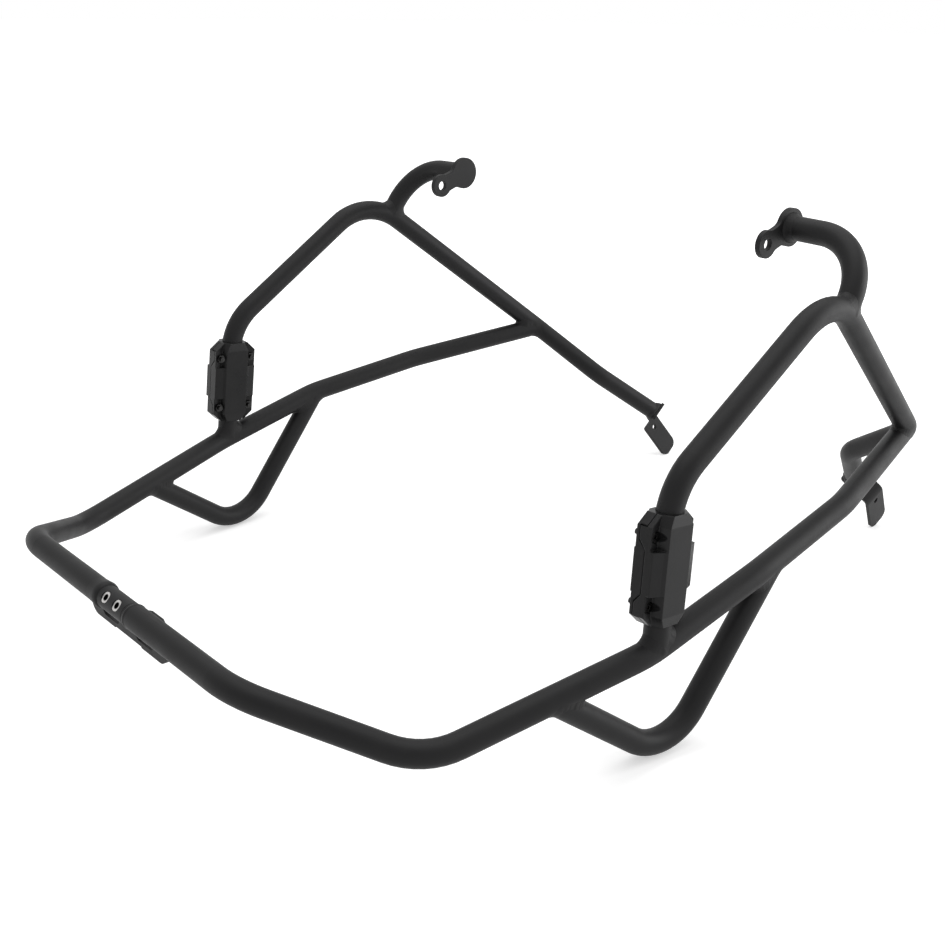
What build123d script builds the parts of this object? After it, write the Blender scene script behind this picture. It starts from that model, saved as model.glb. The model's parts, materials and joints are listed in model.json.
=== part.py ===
from build123d import *
import os
from math import cos, radians, sin

# Motorcycle crash bars: two mirrored tube frames, bolted together at the front.
# X runs across the motorcycle (+X is its right), +Y is backward and +Z is up.
# Steps are given for the right side: in or out across it, back along it, and up or down.

# Tubing
tube_d = 22
tube_wall = 2

# Lower bar, from the front joint to the hoop's knee; each place is a step from the one before
bar_front_height = 106.8
front_corner_across = 179
front_corner_bend = 60
outer_corner_out = 105
outer_corner_back = 94
outer_corner_drop = 45
outer_corner_bend = 70
foot_bend_out = 42.6
foot_bend_back = 192.7
foot_bend_rise = 40.7
loop_bend_out = 3.4
loop_bend_back = 130.7
loop_bend_rise = 32.8
rear_bend_in = 14.8
rear_bend_back = 143.1
rear_bend_rise = 21.5
gentle_bend = 150

# Hoop, from its foot on the lower bar over the top to the rear tab, its shoulder a step from the foot bend
foot_behind_bend = 7.6
shoulder_in = 5.1
shoulder_back = 18.7
shoulder_rise = 134.6
shoulder_bend = 60
crest_back = 189.2
crest_rise = 126.9
crest_bend = 70
knee_in = 47.8
knee_back = 240.4
knee_drop = 183.2
knee_bend = 45
tail_bend_in = 83.5
tail_bend_back = 34.3
tail_bend_drop = 53.8
tail_bend_radius = 45
tail_end_in = 37.1
tail_end_back = 79.7
tail_end_drop = 60

# Skid loop under the lower bar; the right one stands further back than the left one by the stagger
# The low point is where the loop's straight runs would meet, below the round bend that stands on the floor
loop_front_behind_corner = 101.3
loop_rear_behind_bend = 11.3
loop_low_in = 3.7
loop_low_back = 26.8
loop_low_height = -9
loop_low_bend = 48
loop_stagger = 18.8

# Top mount tube and its tab, a step from the crest
mount_foot_behind_crest = 38.6
mount_bend_in = 11.4
mount_bend_back = 62.6
mount_bend_rise = 31.5
mount_bend_radius = 55
mount_end_in = 82.4
mount_end_back = 4.8
mount_end_rise = 1
upper_tab_thickness = 5
upper_tab_head_r = 17.3
upper_tab_lobe_r = 12.5
upper_tab_neck = 19
upper_tab_neck_fillet = 9
upper_hole_d = 10.5
upper_hole_forward = 33.2
upper_hole_drop = 11.9

# Rear tab, a bent strip, a step from the hoop's end
rear_tab_thickness = 4
rear_tab_width = 28
rear_tab_bend_out = 20.9
rear_tab_bend_back = 12.2
rear_tab_bend_drop = 20
rear_tab_bend_radius = 7
rear_tab_tip_in = 10.5
rear_tab_tip_back = 34.2
rear_tab_tip_drop = 44.8
rear_tab_tip_fillet = 10
rear_tab_top_reach = 11
rear_tab_top_fillet = 4
rear_hole_d = 6.5
rear_hole_below_bend = 10

# Half-lap joint in the front bar
joint_across = -2
joint_half_length = 26
joint_lap_angle = 41
plug_d = 20.6
plug_collar = 4
plug_spigot = 20
lap_clearance = 0.5
joint_screw_d = 6
joint_screw_spacing = 19.5
joint_screw_head_d = 10
joint_screw_head_height = 6
joint_screw_hex = 5
joint_screw_sink = 0.8
joint_screw_end_gap = 1.3
screw_clearance = 0.3

# Front mount bracket, a slotted plate behind and below the front bar
bracket_across = -5.5
bracket_half_length = 67.5
bracket_thickness = 5
bracket_behind_axis = 6.5
bracket_drop = 33.5
bracket_recess = 1.2
bracket_recess_width = 48
bracket_recess_angle = 45
bracket_corner = 12
bracket_clearance = 0.6
slot_width = 9
slot_length = 30
slot_apart = 60
slot_drop = 23.5

# Crash pads on the uprights: a flat ridge over the tube, and a flange in front of it and behind it
pad_above_foot = 69
pad_length = 91
pad_end_taper = 9
pad_end_inset = 10.3
pad_foot_inset = 2.5
pad_ridge_inset = 5
pad_end_wall = 1.5
pad_ridge_wall = 3.3
pad_ridge_half = 13.5
pad_flange_reach = 13.8
pad_outer_edge = 5
pad_outer_foot = 5
pad_outer_panel = 8.5
pad_inner_edge = 9.5
pad_inner_foot = 8
pad_inner_panel = 10.5
pad_foot_half = 16
pad_panel_length = 36
pad_panel_foot = 12.2
pad_seam_gap = 0.8
pad_lip_step = 6.5
pad_lip_ramp = 8
pad_lip_width = 8.5
pad_lip_root = 2
pad_screw_reach = 7.8
pad_screw_spacing = 57
pad_screw_d = 5
pad_screw_head_d = 8.4
pad_screw_head_height = 4
pad_screw_hex = 3
pad_pocket_d = 9.6
pad_pocket_floor = 0.5
pad_nut_across = 8
pad_nut_height = 3.5
pad_nut_wall = 1.5
pad_screw_past_nut = 3

tube_r = tube_d / 2
bore_r = tube_r - tube_wall
plug_r = plug_d / 2
ridge = tube_r + pad_ridge_wall
end_ridge = tube_r + pad_end_wall
flange = tube_r + pad_flange_reach
pad_straight_half = pad_length / 2 - pad_end_taper
half_gap = pad_seam_gap / 2
nut_seat = pad_lip_step + pad_nut_wall
pad_screw_tip = nut_seat + pad_nut_height + pad_screw_past_nut


def bent_tube(points, bends, radius, bore=0):
    """Tube along straight runs that are joined by round bends."""
    with BuildPart() as run:
        with BuildLine() as centre:
            FilletPolyline(*points, radius=bends)
        with BuildSketch(Plane(origin=centre.line @ 0, z_dir=centre.line % 0)):
            Circle(radius)
            if bore:
                Circle(bore, mode=Mode.SUBTRACT)
        sweep(path=centre.line)
    return run.part


def coped(run, *neighbours):
    """The tube with its ends cut to sit on the tubes that it is welded to."""
    with BuildPart() as cut:
        add(run)
        for neighbour in neighbours:
            add(neighbour, mode=Mode.SUBTRACT)
    return cut.solids().sort_by(SortBy.VOLUME)[-1]


def step(side, out, back, rise):
    """A step on the left side (-1) or the right side (1)."""
    return Vector(side * out, back, rise)


def along(start, end, distance):
    """The point at a distance from start, on the way to end."""
    return start + (end - start).normalized() * distance


def bend_middle(before, corner, after, radius):
    """The middle of the round bend at a corner of a tube's centre line."""
    to_before = (before - corner).normalized()
    to_after = (after - corner).normalized()
    half_angle = radians(to_before.get_angle(to_after) / 2)
    return corner + (to_before + to_after).normalized() * radius * (1 / sin(half_angle) - 1)


def shell_outline(way, edge, foot, top, tapered=0):
    """Section of one pad half: seam, flange edge, foot of the ridge and ridge. Tapered is 1 at its ends."""
    flange_edge = flange - tapered * pad_end_inset
    foot_half = pad_foot_half - tapered * pad_foot_inset
    ridge_half = pad_ridge_half - tapered * pad_ridge_inset
    with BuildLine() as outline:
        Polyline(
            (way * half_gap, -flange_edge),
            (way * edge, -flange_edge),
            (way * foot, -foot_half),
            (way * top, -ridge_half),
            (way * top, ridge_half),
            (way * foot, foot_half),
            (way * edge, flange_edge),
            (way * half_gap, flange_edge),
            close=True,
        )
    make_face(outline.edges())


def pad_shell(plane, way, edge, foot, panel_edge):
    """One pad half before its bore and holes: a straight middle with a raised panel, and tapered ends."""
    with BuildPart() as shell:
        with BuildSketch(plane):
            shell_outline(way, edge, foot, ridge)
        extrude(amount=pad_straight_half, both=True)
        with BuildSketch(plane):
            shell_outline(way, panel_edge, pad_panel_foot, ridge)
        extrude(amount=pad_panel_length / 2, both=True)
        for end in (-1, 1):
            with BuildSketch(plane.offset(end * pad_straight_half)):
                shell_outline(way, edge, foot, ridge)
            with BuildSketch(plane.offset(end * pad_length / 2)):
                shell_outline(way, edge, foot, end_ridge, 1)
            loft(ruled=True)
    return shell.part


def pad_lips(plane, margin):
    """Lips on the flanges' edges, above and below the panel, that step the seam inward through a ramp."""
    ramp_top = pad_panel_length / 2 - margin
    ramp_foot = ramp_top + pad_lip_ramp
    lip_end = pad_straight_half + margin
    lip_floor = half_gap - pad_lip_step - margin
    with BuildPart() as lips:
        for wing in (-1, 1):
            with BuildSketch(plane.offset(wing * (flange - pad_lip_width - margin))):
                for end in (-1, 1):
                    with BuildLine() as outline:
                        Polyline(
                            (pad_lip_root, end * ramp_top),
                            (half_gap, end * ramp_top),
                            (lip_floor, end * ramp_foot),
                            (lip_floor, end * lip_end),
                            (pad_lip_root, end * lip_end),
                            close=True,
                        )
                    make_face(outline.edges())
            extrude(amount=wing * (pad_lip_width + 2 * margin))
    return lips.part


def screw_pattern():
    """Places of a pad's four screws, in front of the upright and behind it."""
    return GridLocations(2 * (tube_r + pad_screw_reach), pad_screw_spacing, 2, 2)


lap_normal = Vector(0, -cos(radians(joint_lap_angle)), sin(radians(joint_lap_angle)))
joint_centre = Vector(joint_across, 0, bar_front_height)
lap = Plane(origin=joint_centre, x_dir=(1, 0, 0), z_dir=lap_normal)
screw_head_seat = plug_r - joint_screw_sink - joint_screw_head_height

pieces = {}
for side_name, side in (("left", -1), ("right", 1)):
    outward = Vector(side, 0, 0)
    bar_front = joint_centre + outward * joint_half_length
    front_corner = step(side, front_corner_across, 0, bar_front_height)
    outer_corner = front_corner + step(side, outer_corner_out, outer_corner_back, -outer_corner_drop)
    foot_point = outer_corner + step(side, foot_bend_out, foot_bend_back, foot_bend_rise)
    loop_point = foot_point + step(side, loop_bend_out, loop_bend_back, loop_bend_rise)
    rear_point = loop_point + step(side, -rear_bend_in, rear_bend_back, rear_bend_rise)
    shoulder = foot_point + step(side, -shoulder_in, shoulder_back, shoulder_rise)
    crest = shoulder + step(side, 0, crest_back, crest_rise)
    knee = crest + step(side, -knee_in, knee_back, -knee_drop)
    tail_bend = knee + step(side, -tail_bend_in, tail_bend_back, -tail_bend_drop)
    tail_end = tail_bend + step(side, -tail_end_in, tail_end_back, -tail_end_drop)
    knee_middle = bend_middle(crest, knee, tail_bend, knee_bend)

    # Solid stand-ins of the carrying tubes, which cut the ends of the tubes welded to them
    bar_points = [bar_front, front_corner, outer_corner, foot_point, loop_point, rear_point]
    bar_bends = [front_corner_bend, outer_corner_bend, gentle_bend, gentle_bend]
    bar_body = bent_tube(bar_points, bar_bends, tube_r)
    hoop_foot = along(foot_point, loop_point, foot_behind_bend)
    hoop_bends = [shoulder_bend, crest_bend, knee_bend]
    hoop_points = [hoop_foot, shoulder, crest, knee, tail_bend]
    hoop_body = bent_tube(hoop_points, hoop_bends, tube_r)
    hoop_back = bent_tube([crest, knee, tail_bend], [knee_bend], tube_r)

    # Lower bar
    bar_run = bent_tube(bar_points + [knee_middle], bar_bends + [gentle_bend], tube_r, bore_r)
    with BuildPart() as lower_bar:
        add(coped(bar_run, hoop_back))
    pieces[side_name + "_lower_bar"] = lower_bar.part

    # Rear tab: a strip bent from the hoop's end face down to its bolt hole
    tab_bend = tail_end + step(side, rear_tab_bend_out, rear_tab_bend_back, -rear_tab_bend_drop)
    tab_tip = tab_bend + step(side, -rear_tab_tip_in, rear_tab_tip_back, -rear_tab_tip_drop)
    tab_top = tail_end + (tail_end - tab_bend).normalized() * rear_tab_top_reach
    tab_down = (tab_tip - tab_bend).normalized()
    tab_side = tab_down.cross(tab_top - tab_bend).normalized()
    tab_plane = Plane(origin=tab_bend, x_dir=tab_down, z_dir=tab_side)
    tab_face_normal = tab_side.cross(tab_top - tab_bend).normalized()
    if tab_face_normal.dot(tail_bend - tail_end) < 0:
        tab_face_normal = -tab_face_normal
    with BuildPart() as rear_tab:
        with BuildSketch(tab_plane):
            with BuildLine():
                FilletPolyline(*[tab_plane.to_local_coords(p) for p in (tab_top, tab_bend, tab_tip)],
                               radius=rear_tab_bend_radius)
            trace(line_width=rear_tab_thickness)
        extrude(amount=rear_tab_width / 2, both=True)
        tip_face = rear_tab.faces().sort_by(Axis(tab_bend, tab_down))[-1]
        top_face = rear_tab.faces().sort_by(Axis(tab_bend, tab_top - tab_bend))[-1]
        fillet(tip_face.edges().sort_by(SortBy.LENGTH)[:2], rear_tab_tip_fillet)
        fillet(top_face.edges().sort_by(SortBy.LENGTH)[:2], rear_tab_top_fillet)
        with Locations(Plane(origin=tab_bend + tab_down * rear_hole_below_bend, z_dir=tab_plane.y_dir)):
            Hole(rear_hole_d / 2)
    pieces[side_name + "_rear_tab"] = rear_tab.part

    # Hoop, cut off square with the tab's face
    tail_overrun = tail_end + (tail_end - tail_bend).normalized() * tube_d
    hoop_run = bent_tube(hoop_points + [tail_overrun], hoop_bends + [tail_bend_radius], tube_r, bore_r)
    weld_face = Plane(origin=tail_end + tab_face_normal * rear_tab_thickness / 2, z_dir=tab_face_normal)
    with BuildPart() as hoop:
        add(coped(hoop_run, bar_body))
        split(bisect_by=weld_face, keep=Keep.TOP)
    pieces[side_name + "_hoop"] = hoop.part

    # Skid loop
    loop_shift = side * loop_stagger / 2
    loop_front = along(outer_corner, foot_point, loop_front_behind_corner + loop_shift)
    loop_drop = foot_point.Z - loop_low_height
    loop_low = foot_point + step(side, -loop_low_in, loop_low_back + loop_shift, -loop_drop)
    loop_rear = along(loop_point, rear_point, loop_rear_behind_bend + loop_shift)
    loop_run = bent_tube([loop_front, loop_low, loop_rear], [loop_low_bend], tube_r, bore_r)
    with BuildPart() as skid_loop:
        add(coped(loop_run, bar_body))
    pieces[side_name + "_skid_loop"] = skid_loop.part

    # Top mount tube, cut off square with the upper tab
    mount_foot = along(crest, knee, mount_foot_behind_crest)
    mount_bend = crest + step(side, -mount_bend_in, mount_bend_back, mount_bend_rise)
    mount_end = mount_bend + step(side, -mount_end_in, mount_end_back, mount_end_rise)
    mount_overrun = along(mount_bend, mount_end, (mount_end - mount_bend).length + tube_r)
    mount_run = bent_tube([mount_foot, mount_bend, mount_overrun], [mount_bend_radius], tube_r, bore_r)
    with BuildPart() as top_mount_tube:
        add(coped(mount_run, hoop_body))
        split(bisect_by=Plane(origin=mount_end, z_dir=outward), keep=Keep.TOP)
    pieces[side_name + "_top_mount_tube"] = top_mount_tube.part

    # Upper tab: a round head on the tube's end, a waist and a lobe with the bolt hole
    to_hole = Vector(0, -upper_hole_forward, -upper_hole_drop)
    hole_distance = to_hole.length
    with BuildPart() as upper_tab:
        with BuildSketch(Plane(origin=mount_end, x_dir=to_hole, z_dir=-outward)) as tab_outline:
            Circle(upper_tab_head_r)
            Rectangle(hole_distance, upper_tab_neck, align=(Align.MIN, Align.CENTER))
            with Locations((hole_distance, 0)):
                Circle(upper_tab_lobe_r)
            fillet(tab_outline.vertices(), upper_tab_neck_fillet)
            with Locations((hole_distance, 0)):
                Circle(upper_hole_d / 2, mode=Mode.SUBTRACT)
        extrude(amount=upper_tab_thickness)
    pieces[side_name + "_upper_tab"] = upper_tab.part

    # Joint plug: a spigot in the tube, a collar and a half-round tongue
    tongue_way = lap_normal * -side
    plug_plane = Plane(origin=bar_front, x_dir=tongue_way, z_dir=outward)
    tongue_length = 2 * (joint_half_length - plug_collar) - lap_clearance
    with BuildPart() as joint_plug:
        with BuildSketch(plug_plane):
            Circle(bore_r)
        extrude(amount=plug_spigot)
        with BuildSketch(plug_plane):
            Circle(plug_r)
        extrude(amount=-plug_collar)
        with BuildSketch(plug_plane.offset(-plug_collar)):
            Circle(plug_r)
            Rectangle(plug_d, plug_d, align=(Align.MAX, Align.CENTER), mode=Mode.SUBTRACT)
        extrude(amount=-tongue_length)
        with Locations(lap.offset(plug_r)):
            with GridLocations(joint_screw_spacing, 1, 2, 1):
                if side < 0:
                    CounterBoreHole(joint_screw_d / 2 + screw_clearance,
                                    joint_screw_head_d / 2 + screw_clearance,
                                    plug_r - screw_head_seat)
                else:
                    Hole(joint_screw_d / 2)
    pieces[side_name + "_joint_plug"] = joint_plug.part

    # Crash pad: two moulded shells round the upright, screwed together in front of it and behind it
    upright = (shoulder - hoop_foot).normalized()
    pad_centre = along(hoop_foot, shoulder, pad_above_foot)
    pad_out = (outward - upright * outward.dot(upright)).normalized()
    pad_plane = Plane(origin=pad_centre, x_dir=pad_out, z_dir=upright)
    screw_plane = Plane(origin=pad_centre, x_dir=pad_plane.y_dir, z_dir=pad_out)
    lip_plane = Plane(origin=pad_centre, x_dir=pad_out, z_dir=pad_out.cross(upright))

    with BuildPart() as pad_outer:
        add(pad_shell(pad_plane, 1, pad_outer_edge, pad_outer_foot, pad_outer_panel))
        add(pad_lips(lip_plane, 0))
        add(hoop_body, mode=Mode.SUBTRACT)
        with Locations(screw_plane.offset(ridge)):
            with screw_pattern():
                CounterBoreHole(pad_screw_d / 2 + screw_clearance, pad_pocket_d / 2,
                                ridge - pad_pocket_floor)
    pieces[side_name + "_pad_outer_half"] = pad_outer.part

    # The inner half is notched for the outer half's lips and holds the nuts in pockets
    with BuildPart() as pad_inner:
        add(pad_shell(pad_plane, -1, pad_inner_edge, pad_inner_foot, pad_inner_panel))
        add(pad_lips(lip_plane, pad_seam_gap), mode=Mode.SUBTRACT)
        add(hoop_body, mode=Mode.SUBTRACT)
        with Locations(screw_plane):
            with screw_pattern():
                Hole(pad_screw_d / 2 + screw_clearance)
        with BuildSketch(screw_plane.offset(-nut_seat)):
            with screw_pattern():
                RegularPolygon(pad_nut_across / 2, 6, major_radius=False)
        extrude(amount=-ridge, mode=Mode.SUBTRACT)
    pieces[side_name + "_pad_inner_half"] = pad_inner.part

    # Pad screws, head outward, and the nuts on their inner ends
    with BuildPart() as pad_screws:
        with BuildSketch(screw_plane.offset(pad_pocket_floor)):
            with screw_pattern():
                Circle(pad_screw_head_d / 2)
        extrude(amount=pad_screw_head_height)
        with BuildSketch(screw_plane.offset(pad_pocket_floor)):
            with screw_pattern():
                Circle(pad_screw_d / 2)
        extrude(amount=-(pad_pocket_floor + pad_screw_tip))
        with BuildSketch(screw_plane.offset(pad_pocket_floor + pad_screw_head_height)):
            with screw_pattern():
                RegularPolygon(pad_screw_hex / 2, 6, major_radius=False)
        extrude(amount=-pad_screw_head_height / 2, mode=Mode.SUBTRACT)
    pieces[side_name + "_pad_screws"] = pad_screws.part

    with BuildPart() as pad_nuts:
        with BuildSketch(screw_plane.offset(-nut_seat)):
            with screw_pattern():
                RegularPolygon(pad_nut_across / 2, 6, major_radius=False)
                Circle(pad_screw_d / 2, mode=Mode.SUBTRACT)
        extrude(amount=-pad_nut_height)
    pieces[side_name + "_pad_nuts"] = pad_nuts.part

# Joint screws, from the front through the left tongue into the right one
joint_screw_length = screw_head_seat + plug_r - joint_screw_end_gap
with BuildPart() as joint_screws:
    with BuildSketch(lap.offset(screw_head_seat)):
        with GridLocations(joint_screw_spacing, 1, 2, 1):
            Circle(joint_screw_head_d / 2)
    extrude(amount=joint_screw_head_height)
    with BuildSketch(lap.offset(screw_head_seat)):
        with GridLocations(joint_screw_spacing, 1, 2, 1):
            Circle(joint_screw_d / 2)
    extrude(amount=-joint_screw_length)
    with BuildSketch(lap.offset(screw_head_seat + joint_screw_head_height)):
        with GridLocations(joint_screw_spacing, 1, 2, 1):
            RegularPolygon(joint_screw_hex / 2, 6, major_radius=False)
    extrude(amount=-joint_screw_head_height / 2, mode=Mode.SUBTRACT)
pieces["joint_screws"] = joint_screws.part

# Front mount bracket, welded to the right bar and clear of the joint and the left bar
bracket_origin = (bracket_across, bracket_behind_axis, bar_front_height)
bracket_plane = Plane(origin=bracket_origin, x_dir=(1, 0, 0), z_dir=(0, -1, 0))
right_bar_end = Plane(origin=joint_centre + Vector(joint_half_length, 0, 0), z_dir=(1, 0, 0))
with BuildPart() as bracket:
    with BuildSketch(bracket_plane) as plate:
        Rectangle(2 * bracket_half_length, bracket_drop, align=(Align.CENTER, Align.MAX))
        fillet(plate.vertices().group_by(Axis.Y)[0], bracket_corner)
        with Locations((0, -bracket_drop)):
            Trapezoid(bracket_recess_width, bracket_recess, bracket_recess_angle,
                      align=(Align.CENTER, Align.MIN), mode=Mode.SUBTRACT)
        with Locations((0, -slot_drop)):
            with GridLocations(slot_apart, 1, 2, 1):
                SlotOverall(slot_length, slot_width, mode=Mode.SUBTRACT)
    extrude(amount=-bracket_thickness)
    with BuildSketch(right_bar_end):
        Circle(tube_r)
    extrude(amount=bracket_half_length, mode=Mode.SUBTRACT)
    with BuildSketch(right_bar_end):
        Circle(tube_r + bracket_clearance)
    extrude(amount=-2 * bracket_half_length, mode=Mode.SUBTRACT)
pieces["front_mount_bracket"] = bracket.part

# Stand the frame on its loops, centred over its own footprint
box = Compound(list(pieces.values())).bounding_box()
stand = Location((0, -box.center().Y, -box.min.Z))
os.makedirs("parts", exist_ok=True)
for name, piece in pieces.items():
    placed = piece.moved(stand)
    placed.label = name
    export_step(placed, f"parts/{name}.step")
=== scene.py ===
import json
import math

import bmesh
import bpy
import numpy as np
from mathutils import Matrix, Vector
from mathutils.bvhtree import BVHTree


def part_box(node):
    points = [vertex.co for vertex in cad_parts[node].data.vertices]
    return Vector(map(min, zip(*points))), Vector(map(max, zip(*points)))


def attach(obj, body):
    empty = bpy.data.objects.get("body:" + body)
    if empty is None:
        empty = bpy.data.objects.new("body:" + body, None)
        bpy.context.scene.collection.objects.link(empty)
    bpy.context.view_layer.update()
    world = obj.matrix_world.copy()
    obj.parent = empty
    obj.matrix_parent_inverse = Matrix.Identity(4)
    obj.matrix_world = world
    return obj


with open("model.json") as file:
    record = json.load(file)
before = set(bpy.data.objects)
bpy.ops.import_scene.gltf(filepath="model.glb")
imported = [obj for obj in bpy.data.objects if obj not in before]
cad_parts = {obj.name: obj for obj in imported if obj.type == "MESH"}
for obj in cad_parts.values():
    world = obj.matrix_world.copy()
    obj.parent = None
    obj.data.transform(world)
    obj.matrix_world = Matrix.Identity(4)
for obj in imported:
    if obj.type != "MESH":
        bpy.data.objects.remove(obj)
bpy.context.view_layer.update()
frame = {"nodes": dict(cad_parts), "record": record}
nodes = frame["nodes"]
scene = bpy.context.scene

# Camera, as fitted to the photograph: place from the front bar's axis, image axes, lens and sensor in mm
CAMERA_FROM_BAR = Vector((0.88945, -0.39793, 0.47438))
CAMERA_RIGHT = Vector((0.656173, 0.754415, 0.017179))
CAMERA_DOWN = Vector((0.276168, -0.218895, -0.935850))
CAMERA_LENS = 47.67
CAMERA_SENSOR = 36

# Front bar: its radius, and how far behind its axis the bracket's front face lies
TUBE_RADIUS = 0.011
BRACKET_BEHIND_BAR = 0.0065

# Weld fillets: leg on the branch, leg on the piece that it stands on, bulge as a share of the shorter leg
TUBE_WELD = (0.0062, 0.0062, 0.36)
UPPER_TAB_WELD = (0.0085, 0.0036, 0.5)
REAR_TAB_WELD = (0.0085, 0.0036, 1.3)

# What is welded on each side: weld, branch, what it stands on, which of their meetings from the front, form
WELDS = (
    ("loop_front", "skid_loop", "lower_bar", 0, TUBE_WELD),
    ("loop_rear", "skid_loop", "lower_bar", 1, TUBE_WELD),
    ("hoop_foot", "hoop", "lower_bar", 0, TUBE_WELD),
    ("knee", "lower_bar", "hoop", -1, TUBE_WELD),
    ("mount_foot", "top_mount_tube", "hoop", 0, TUBE_WELD),
    ("upper_tab", "top_mount_tube", "upper_tab", 0, UPPER_TAB_WELD),
    ("rear_tab", "hoop", "rear_tab", 0, REAR_TAB_WELD),
)

# How fillets are drawn: steps along and across, the share of the bulge left where the flanks run on flat,
# the cover over the seam, the ripples, and how deep the toes and the root lie under the surfaces
WELD_STEP = 0.0006
SECTION_STEPS = 9
FLATTEST = 0.2
SEAM_COVER = 0.0003
RIPPLE_PITCH = 0.0028
RIPPLE_DEPTH = 0.07
TOE_SINK = 0.00015
ROOT_SINK = 0.0008

# Rounds of evening out along a fillet
LOOP_ROUNDS = 6
NORMAL_ROUNDS = 30
TOE_ROUNDS = 12
TOE_PASSES = 4
COVER_ROUNDS = 4

# Search for the edges where pieces meet: nearness that counts as touching, room between two meetings,
# sectors round a meeting and points in each, corners that show which way the branch goes, cosine between
# faces that lie together, and how far outside a probe for the seam's depth starts
CONTACT_REACH = 0.0004
RING_GAP = 0.03
RING_SECTORS = 40
SECTOR_POINTS = 4
BODY_CORNERS = 60
TOGETHER = -0.5
PROBE = 0.004

# Rings of weld round the bars' front ends: distance from the bar's end, outward, and radius
LEFT_COLLAR = [(0.016, 0.0109), (0.011, 0.0111), (0.0065, 0.0114), (0.003, 0.0118), (0.0005, 0.0120),
               (-0.002, 0.0117), (-0.0038, 0.0109), (-0.0044, 0.0098)]
RIGHT_COLLAR = [(0.003, 0.0108), (0.0018, 0.0112), (0.0004, 0.0114), (-0.001, 0.0111), (-0.002, 0.0100)]
COLLAR_SIDES = 72

# Beads on the bracket: radius, the top one's rise over the bar's axis, inset from the ends, the top one's
# length, sides, and the thin tips' share of the radius and steps
BEAD_RADIUS = 0.0026
BEAD_RISE = 0.0024
BEAD_INSET = 0.001
TOP_BEAD_LENGTH = 0.032
BEAD_SIDES = 16
TIP_SHARE = 0.3
TIP_STEPS = 16

# Painted shade in the joint screws' sockets: how far from the screw's axis it starts to thin out, and ends
SOCKET_SHADE_FULL = 0.0027
SOCKET_SHADE_END = 0.0033

# A Mix node's colour sockets
MIX_FIRST, MIX_SECOND, MIX_RESULT = 6, 7, 2

# Light on things, the floor's size, tone and glow, the distances over which that glow rises to white, lamps
WORLD_LIGHT = 0.5
FLOOR_HALF = 30
FLOOR_TONE = 0.85
FLOOR_GLOW = 0.44
GLOW_NEAR = 0.6
GLOW_FAR = 1.6
SOFTBOXES = {
    "overhead": {"place": (-0.1, 0.1, 2.4), "target": (0, 0, 0.1), "size": 2.4, "power": 32},
    "rear_right": {"place": (1.9, 2.2, 0.9), "target": (0.2, 0, 0.2), "size": 2.2, "power": 48},
}


# Materials

class Graph:
    """The node tree of a material or a world, with short calls that add and link nodes."""

    def __init__(self, owner):
        owner.use_nodes = True
        self.owner = owner
        self.tree = owner.node_tree

    def add(self, kind, links=None, **settings):
        """A new node; settings are its options or its inputs' values, and links feed its inputs."""
        node = self.tree.nodes.new(kind)
        for key, value in settings.items():
            if hasattr(node, key):
                setattr(node, key, value)
            else:
                node.inputs[key.replace("_", " ")].default_value = value
        for socket, source in (links or {}).items():
            self.link(source, node, socket)
        return node

    def link(self, source, node, socket):
        self.tree.links.new(source, node.inputs[socket])

    def math(self, operation, first, second):
        return self.add("ShaderNodeMath", {0: first, 1: second}, operation=operation).outputs["Value"]


class Finish(Graph):
    """A Principled material, textured by the place on the part; values are the shader's fixed inputs."""

    def __init__(self, name, **values):
        super().__init__(bpy.data.materials.new(name))
        self.shader = self.tree.nodes["Principled BSDF"]
        self.place = self.add("ShaderNodeTexCoord").outputs["Object"]
        for socket, value in values.items():
            self.shader.inputs[socket.replace("_", " ")].default_value = value

    def shade(self, **sources):
        """Link textures to the shader's inputs."""
        for socket, source in sources.items():
            self.link(source, self.shader, socket.replace("_", " "))

    def noise(self, scale, detail, roughness):
        """A noise texture's value."""
        node = self.add("ShaderNodeTexNoise", {"Vector": self.place},
                        Scale=scale, Detail=detail, Roughness=roughness)
        return node.outputs["Fac"]

    def ramp(self, source, *stops):
        """A colour ramp over a value; each stop is a position and a grey or a colour."""
        node = self.add("ShaderNodeValToRGB", {"Fac": source})
        for element, (position, colour) in zip(node.color_ramp.elements, stops):
            element.position = position
            element.color = (*colour, 1) if isinstance(colour, tuple) else (colour, colour, colour, 1)
        return node.outputs["Color"]

    def soft_edge(self, radius, samples):
        """Normals that round off the edges."""
        return self.add("ShaderNodeBevel", samples=samples, Radius=radius).outputs["Normal"]

    def bump(self, height, normal, strength, distance):
        """Normals roughened by a height."""
        node = self.add("ShaderNodeBump", {"Height": height, "Normal": normal},
                        Strength=strength, Distance=distance)
        return node.outputs["Normal"]

    def reach(self, point, axis):
        """How far the place lies from an axis through a point."""
        offset = self.add("ShaderNodeVectorMath", {0: self.place}, operation="SUBTRACT")
        offset.inputs[1].default_value = point
        across = self.add("ShaderNodeVectorMath", {0: offset.outputs["Vector"]}, operation="CROSS_PRODUCT")
        across.inputs[1].default_value = axis
        length = self.add("ShaderNodeVectorMath", {0: across.outputs["Vector"]}, operation="LENGTH")
        return length.outputs["Value"]


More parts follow.
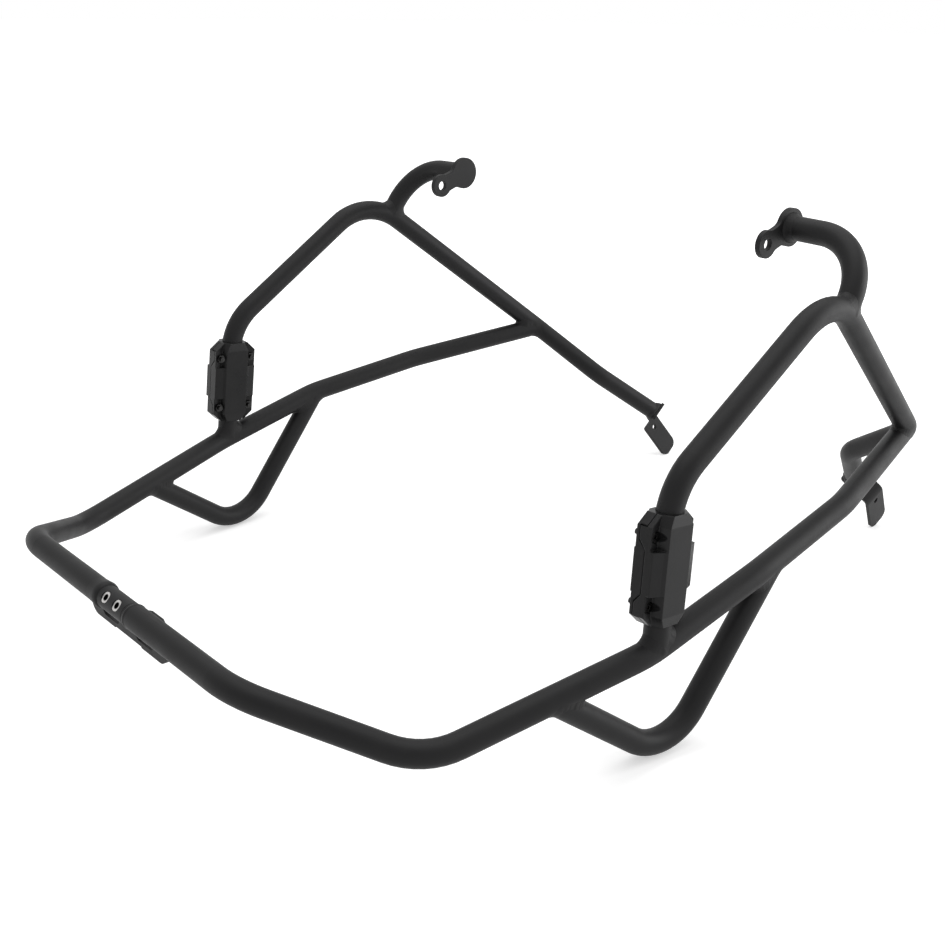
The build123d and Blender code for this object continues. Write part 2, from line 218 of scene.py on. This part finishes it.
def powder_coat():
    """Satin black powder coat: a fine orange peel, a faint mottle and softened edges."""
    finish = Finish("satin_black_powder_coat", Specular_IOR_Level=0.19)
    mottle = finish.noise(scale=38.0, detail=4.0, roughness=0.6)
    peel = finish.noise(scale=900.0, detail=2.0, roughness=0.5)
    grain = finish.noise(scale=3200.0, detail=1.0, roughness=0.5)
    normal = finish.soft_edge(radius=0.0009, samples=6)
    normal = finish.bump(peel, normal, strength=0.16, distance=0.0004)
    normal = finish.bump(grain, normal, strength=0.12, distance=0.0002)
    tone = finish.ramp(mottle, (0.3, (0.0072, 0.0072, 0.0077)), (0.7, (0.0108, 0.0106, 0.0109)))
    finish.shade(Base_Color=tone, Roughness=finish.ramp(mottle, (0.3, 0.47), (0.7, 0.56)), Normal=normal)
    return finish.owner


def pad_plastic():
    """Moulded black nylon: a leathery spark-eroded grain, slightly glossier than the coat."""
    finish = Finish("moulded_black_nylon", Specular_IOR_Level=0.17)
    cloud = finish.noise(scale=60.0, detail=3.0, roughness=0.55)
    grain = finish.add("ShaderNodeTexVoronoi", {"Vector": finish.place}, Scale=1500.0, Randomness=1.0)
    normal = finish.soft_edge(radius=0.0012, samples=8)
    normal = finish.bump(grain.outputs["Distance"], normal, strength=0.14, distance=0.0003)
    tone = finish.ramp(cloud, (0.3, (0.0075, 0.0075, 0.0078)), (0.7, (0.0105, 0.0103, 0.0106)))
    finish.shade(Base_Color=tone, Roughness=finish.ramp(cloud, (0.3, 0.27), (0.7, 0.36)), Normal=normal)
    return finish.owner


def screw_axes(name):
    """A point on each screw's axis and the axis itself, for two screws side by side."""
    cloud = np.array([v.co for v in nodes[name].data.vertices])
    right = cloud[:, 0] > (cloud[:, 0].min() + cloud[:, 0].max()) / 2
    for screw in (cloud[~right], cloud[right]):
        middle = screw.mean(0)
        yield middle, np.linalg.svd(screw - middle, full_matrices=False)[2][0]


def stainless_steel():
    """Plain stainless joint screws: a bright metal with turning marks, faint stains and sockets darkened by
    painted shade.
    """
    finish = Finish("plain_stainless_steel", Metallic=1.0)
    stain = finish.noise(scale=420.0, detail=3.0, roughness=0.6)
    marks = finish.noise(scale=6000.0, detail=1.0, roughness=0.4)
    tone = finish.ramp(stain, (0.3, (0.47, 0.46, 0.45)), (0.7, (0.60, 0.59, 0.58)))
    # Painted shade: the colour goes nearly black towards each joint screw's axis, standing in for the shade
    # inside the socket recess
    reaches = [finish.reach(point, axis) for point, axis in screw_axes("joint_screws")]
    nearest = finish.math("MINIMUM", *reaches)
    share = finish.add("ShaderNodeMapRange", {"Value": nearest}, From_Min=SOCKET_SHADE_FULL, From_Max=SOCKET_SHADE_END)
    socket_shade = finish.ramp(share.outputs["Result"], (0.0, 0.012), (1.0, 1.0))
    shaded_tone = finish.add("ShaderNodeMix", {MIX_FIRST: tone, MIX_SECOND: socket_shade},
                       data_type="RGBA", blend_type="MULTIPLY", Factor=1.0)
    normal = finish.soft_edge(radius=0.0004, samples=6)
    normal = finish.bump(marks, normal, strength=0.08, distance=0.0001)
    roughness = finish.ramp(stain, (0.3, 0.24), (0.7, 0.36))
    finish.shade(Base_Color=shaded_tone.outputs[MIX_RESULT], Roughness=roughness, Normal=normal)
    return finish.owner


def black_steel():
    """Black oxide screws and nuts: a dark metal, worn a little lighter in patches."""
    finish = Finish("black_oxide_steel", Metallic=1.0)
    wear = finish.noise(scale=520.0, detail=4.0, roughness=0.6)
    marks = finish.noise(scale=5000.0, detail=1.0, roughness=0.4)
    normal = finish.soft_edge(radius=0.0004, samples=6)
    normal = finish.bump(marks, normal, strength=0.08, distance=0.0001)
    tone = finish.ramp(wear, (0.35, (0.022, 0.022, 0.0224)), (0.75, (0.055, 0.054, 0.053)))
    finish.shade(Base_Color=tone, Roughness=finish.ramp(wear, (0.35, 0.26), (0.75, 0.38)), Normal=normal)
    return finish.owner


# Welds, laid along the edges where one welded piece meets the next

def search_tree(name, group=frozenset(), neighbour=None):
    """A node's faces for searches, except those at a group of corners that lie against the neighbour."""
    mesh = nodes[name].data

    def shut(face):
        if not group.issuperset(face.vertices):
            return False
        return neighbour.find_nearest(face.center)[1].dot(face.normal) < TOGETHER

    faces = [face.vertices for face in mesh.polygons if not shut(face)]
    return BVHTree.FromPolygons([v.co for v in mesh.vertices], faces)


def contact_groups(branch, neighbour):
    """The branch's corners that touch the neighbour, as one set for each meeting, front to back."""
    surface = search_tree(neighbour)
    corners = nodes[branch].data.vertices
    groups = []
    for corner in corners:
        if surface.find_nearest(corner.co, CONTACT_REACH)[0] is None:
            continue
        near = [g for g in groups if any((corner.co - corners[i].co).length < RING_GAP for i in g)]
        groups = [g for g in groups if g not in near] + [{corner.index}.union(*near)]
    return sorted(groups, key=lambda g: min(corners[i].co.y for i in g))


def unit(rows):
    """Rows scaled to length 1."""
    return rows / np.linalg.norm(rows, axis=1, keepdims=True)


def smooth(rows, rounds):
    """Rows of points, directions or heights, evened out along their closed line."""
    for _ in range(rounds):
        rows = (np.roll(rows, 1, 0) + 2 * rows + np.roll(rows, -1, 0)) / 4
    return rows


def even_steps(line):
    """Points one weld step apart along a closed line."""
    closed = np.vstack([line, line[:1]])
    reach = np.concatenate([[0], np.cumsum(np.linalg.norm(np.diff(closed, axis=0), axis=1))])
    places = np.linspace(0, reach[-1], round(reach[-1] / WELD_STEP), endpoint=False)
    return np.stack([np.interp(places, reach, closed[:, k]) for k in range(3)], 1)


def outer_loop(points):
    """A smooth closed line through the outermost points of a ring."""
    cloud = np.array(points)
    centre = cloud.mean(0)
    axes = np.linalg.svd(cloud - centre)[2]
    flat = (cloud - centre) @ axes.T
    angle = np.arctan2(flat[:, 1], flat[:, 0])
    radius = np.hypot(flat[:, 0], flat[:, 1])
    sector = np.floor((angle + math.pi) / (2 * math.pi) * RING_SECTORS).astype(int) % RING_SECTORS
    rim = [max(np.flatnonzero(sector == k), key=lambda i: radius[i]) for k in np.unique(sector)]
    rim.sort(key=lambda i: angle[i])
    turn = np.linspace(-math.pi, math.pi, SECTOR_POINTS * RING_SECTORS, endpoint=False)
    line = np.stack([np.interp(turn, angle[rim], flat[rim, k], period=2 * math.pi) for k in range(3)], 1)
    return centre + even_steps(smooth(line, LOOP_ROUNDS)) @ axes


def toe_line(surface, line, ahead, away, leg):
    """A fillet's toe on a surface, a leg away from the line, with the normals and the leg's directions."""
    normal = unit(smooth(np.array([surface.find_nearest(p)[1] for p in line]), NORMAL_ROUNDS))
    leg_way = np.cross(ahead, normal)
    leg_way *= np.where((leg_way * away).sum(1, keepdims=True) < 0, -1, 1)
    toe = line + leg_way * leg
    for _ in range(TOE_PASSES):
        hits = [surface.find_nearest(p) for p in smooth(toe, TOE_ROUNDS)]
        toe = np.array([place - facing * TOE_SINK for place, facing, _, _ in hits])
    return toe, normal, leg_way


def buried(line, out, surfaces):
    """How deep each point of a line lies under the outermost of the surfaces, along its out direction."""
    depths = []
    for point, way in zip(line, out):
        hits = [surface.ray_cast(point + way * PROBE, -way, 2 * PROBE)[3] for surface in surfaces]
        depths.append([max((PROBE - hit for hit in hits if hit is not None), default=0)])
    return np.array(depths)


def add_weld(name, sections, closed, sharp):
    """A closed mesh through rows of section points; the rows named sharp are hard edges."""
    mesh = bmesh.new()
    loops = [[mesh.verts.new(p) for p in section] for section in sections]
    sides = len(loops[0])
    for here, there in zip(loops, loops[1:] + loops[:1] if closed else loops[1:]):
        for k in range(sides):
            after = (k + 1) % sides
            mesh.faces.new((here[k], here[after], there[after], there[k]))
        for k in sharp:
            mesh.edges.get((here[k], there[k])).smooth = False
    if not closed:
        mesh.faces.new(loops[0])
        mesh.faces.new(loops[-1])
    bmesh.ops.recalc_face_normals(mesh, faces=mesh.faces)
    data = bpy.data.meshes.new(name)
    mesh.to_mesh(data)
    mesh.free()
    data.polygons.foreach_set("use_smooth", [True] * len(data.polygons))
    data.materials.append(finishes["bar_coat"])
    piece = bpy.data.objects.new(name, data)
    scene.collection.objects.link(piece)
    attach(piece, "root")


def add_fillet(name, branch, neighbour, group, branch_leg, base_leg, bulge):
    """A weld fillet round a branch's foot, with faint ripples and its toes a little under both surfaces."""
    corners = nodes[branch].data.vertices
    line = outer_loop([corners[i].co for i in group])
    centre = line.mean(0)
    body = np.array([v.co for v in corners if v.index not in group])
    nearest = np.argsort(np.linalg.norm(body - centre, axis=1))[:BODY_CORNERS]
    up = body[nearest].mean(0) - centre
    ahead = unit(smooth(np.roll(line, -1, 0) - np.roll(line, 1, 0), NORMAL_ROUNDS))
    base = search_tree(neighbour)
    foot = search_tree(branch, group, base)
    foot_toe, foot_normal, foot_way = toe_line(foot, line, ahead, up, branch_leg)
    base_toe, base_normal, base_way = toe_line(base, line, ahead, line - centre, base_leg)
    out = unit(foot_normal + foot_way + base_normal + base_way)

    # The crown is lower where the flanks run on flat, and high enough everywhere to cover the seam
    sharpness = np.clip(1 - (foot_normal * base_normal).sum(1, keepdims=True), FLATTEST, 1)
    ripples = round(len(line) * WELD_STEP / RIPPLE_PITCH)
    ripple = np.abs(np.sin(math.pi * ripples * np.arange(len(line)) / len(line)))[:, None]
    height = min(branch_leg, base_leg) * (bulge + RIPPLE_DEPTH * (ripple - 0.5)) * sharpness
    toe_depth = ((line - (foot_toe + base_toe) / 2) * out).sum(1, keepdims=True)
    cover = smooth(2 * (buried(line, out, (foot, base)) + SEAM_COVER) + toe_depth, COVER_ROUNDS)
    crown = line + out * np.maximum(height, cover)

    # Each section goes from toe to toe in a curve pulled by the crown, and back by a sunk root
    shares = np.linspace(0, 1, SECTION_STEPS)
    curve = [(1 - t) ** 2 * foot_toe + 2 * t * (1 - t) * crown + t * t * base_toe for t in shares]
    sections = np.stack(curve + [line - out * ROOT_SINK], 1)
    add_weld(name, sections, True, (0, SECTION_STEPS - 1, SECTION_STEPS))


def add_collar(name, end, outward, profile):
    """A ring of weld round a bar's front end, turned from a profile."""
    inner = min(radius for _, radius in profile) - ROOT_SINK
    ring = profile + [(profile[-1][0], inner), (profile[0][0], inner)]
    start = bar_axis + Vector((end, 0, 0))
    sections = []
    for k in range(COLLAR_SIDES):
        turn = 2 * math.pi * k / COLLAR_SIDES
        spoke = Vector((0, math.cos(turn), math.sin(turn)))
        sections.append([start + Vector((outward * along, 0, 0)) + spoke * radius
                         for along, radius in ring])
    last = len(profile) - 1
    add_weld(name, sections, True, (0, last, last + 1, last + 2))


def add_bead(name, start, end, back, rise):
    """A round rippled bead along the front bar, with thin tips."""
    seam = np.arange(start, end, WELD_STEP)
    turns = [2 * math.pi * k / BEAD_SIDES for k in range(BEAD_SIDES)]
    sections = []
    for i, x in enumerate(seam):
        swell = BEAD_RADIUS * min(1, TIP_SHARE + min(i, len(seam) - 1 - i) / TIP_STEPS)
        swell *= 1 + RIPPLE_DEPTH * abs(math.sin(math.pi * i * WELD_STEP / RIPPLE_PITCH))
        centre = bar_axis + Vector((x, back, rise))
        sections.append([centre + Vector((0, math.cos(t), math.sin(t))) * swell for t in turns])
    add_weld(name, sections, False, ())


# Studio

def seen_rays(graph):
    """1 for rays from the camera and off glossy or clear surfaces, 0 for the light that falls on things."""
    path = graph.add("ShaderNodeLightPath")
    seen = graph.math("MAXIMUM", path.outputs["Is Camera Ray"], path.outputs["Is Glossy Ray"])
    return graph.math("MAXIMUM", seen, path.outputs["Is Transmission Ray"])


def add_floor():
    """A pale floor, lit and shadowed like any surface, whose glow for seen rays rises to white far off."""
    graph = Graph(bpy.data.materials.new("pale_floor"))
    graph.tree.nodes.remove(graph.tree.nodes["Principled BSDF"])
    matt = graph.add("ShaderNodeBsdfDiffuse", Color=(FLOOR_TONE, FLOOR_TONE, FLOOR_TONE, 1))
    place = graph.add("ShaderNodeTexCoord").outputs["Object"]
    distance = graph.add("ShaderNodeVectorMath", {0: place}, operation="LENGTH").outputs["Value"]
    rise = graph.add("ShaderNodeMapRange", {"Value": distance},
                     From_Min=GLOW_NEAR, From_Max=GLOW_FAR, To_Min=FLOOR_GLOW, To_Max=1)
    strength = graph.math("MULTIPLY", seen_rays(graph), rise.outputs["Result"])
    glow = graph.add("ShaderNodeEmission", {"Strength": strength})
    both = graph.add("ShaderNodeAddShader", {0: matt.outputs["BSDF"], 1: glow.outputs["Emission"]})
    graph.link(both.outputs["Shader"], graph.tree.nodes["Material Output"], "Surface")

    mesh = bpy.data.meshes.new("floor")
    corners = [(-FLOOR_HALF, -FLOOR_HALF, 0), (FLOOR_HALF, -FLOOR_HALF, 0),
               (FLOOR_HALF, FLOOR_HALF, 0), (-FLOOR_HALF, FLOOR_HALF, 0)]
    mesh.from_pydata(corners, [], [(0, 1, 2, 3)])
    mesh.materials.append(graph.owner)
    floor = bpy.data.objects.new("floor", mesh)
    scene.collection.objects.link(floor)


def add_world():
    """White behind the object, and softer as a light."""
    graph = Graph(bpy.data.worlds.new("studio"))
    background = graph.tree.nodes["Background"]
    background.inputs["Color"].default_value = (1, 1, 1, 1)
    level = graph.add("ShaderNodeMapRange", {"Value": seen_rays(graph)}, To_Min=WORLD_LIGHT, To_Max=1)
    graph.link(level.outputs["Result"], background, "Strength")
    scene.world = graph.owner


def add_softbox(name, place, target, size, power):
    """A square area light that faces a target."""
    data = bpy.data.lights.new(name, "AREA")
    data.size = size
    data.energy = power
    lamp = bpy.data.objects.new(name, data)
    lamp.location = place
    lamp.rotation_euler = (Vector(target) - Vector(place)).to_track_quat("-Z", "Y").to_euler()
    scene.collection.objects.link(lamp)


def add_camera():
    """The photograph's camera."""
    data = bpy.data.cameras.new("camera")
    data.sensor_width = CAMERA_SENSOR
    data.lens = CAMERA_LENS
    camera = bpy.data.objects.new("camera", data)
    turn = Matrix((CAMERA_RIGHT, -CAMERA_DOWN, -CAMERA_RIGHT.cross(CAMERA_DOWN))).transposed()
    camera.matrix_world = Matrix.Translation(bar_axis + CAMERA_FROM_BAR) @ turn.to_4x4()
    scene.collection.objects.link(camera)
    scene.camera = camera


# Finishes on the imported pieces
finishes = {"bar_coat": powder_coat(), "pad_plastic": pad_plastic(), "fastener_steel": stainless_steel(),
            "black_fastener": black_steel()}
for entry in frame["record"]["subparts"]:
    mesh = nodes[entry["node"]].data
    mesh.materials.clear()
    mesh.materials.append(finishes[entry["material_slot"]])

# Fillets on both sides
for side in ("left", "right"):
    for name, branch, neighbour, place, form in WELDS:
        branch, neighbour = f"{side}_{branch}", f"{side}_{neighbour}"
        group = contact_groups(branch, neighbour)[place]
        add_fillet(f"{side}_{name}_weld", branch, neighbour, group, *form)

# Welds of the front bar: a ring at each half's end, and beads along the bracket, in front of it and on top
bracket_low, bracket_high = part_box("front_mount_bracket")
bar_axis = Vector((0, bracket_low.y - BRACKET_BEHIND_BAR, bracket_high.z))
left_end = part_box("left_lower_bar")[1].x
right_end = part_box("right_lower_bar")[0].x
add_collar("left_collar_weld", left_end, -1, LEFT_COLLAR)
add_collar("right_collar_weld", right_end, 1, RIGHT_COLLAR)
seam_drop = math.sqrt(TUBE_RADIUS ** 2 - BRACKET_BEHIND_BAR ** 2)
bead_start = right_end + BEAD_INSET
add_bead("bracket_front_weld", bead_start, bracket_high.x - BEAD_INSET, BRACKET_BEHIND_BAR, -seam_drop)
add_bead("bracket_top_weld", bead_start, right_end + TOP_BEAD_LENGTH, TUBE_RADIUS, BEAD_RISE)

scene.view_settings.view_transform = "Standard"
add_floor()
add_world()
for name, box in SOFTBOXES.items():
    add_softbox(name, **box)
add_camera()
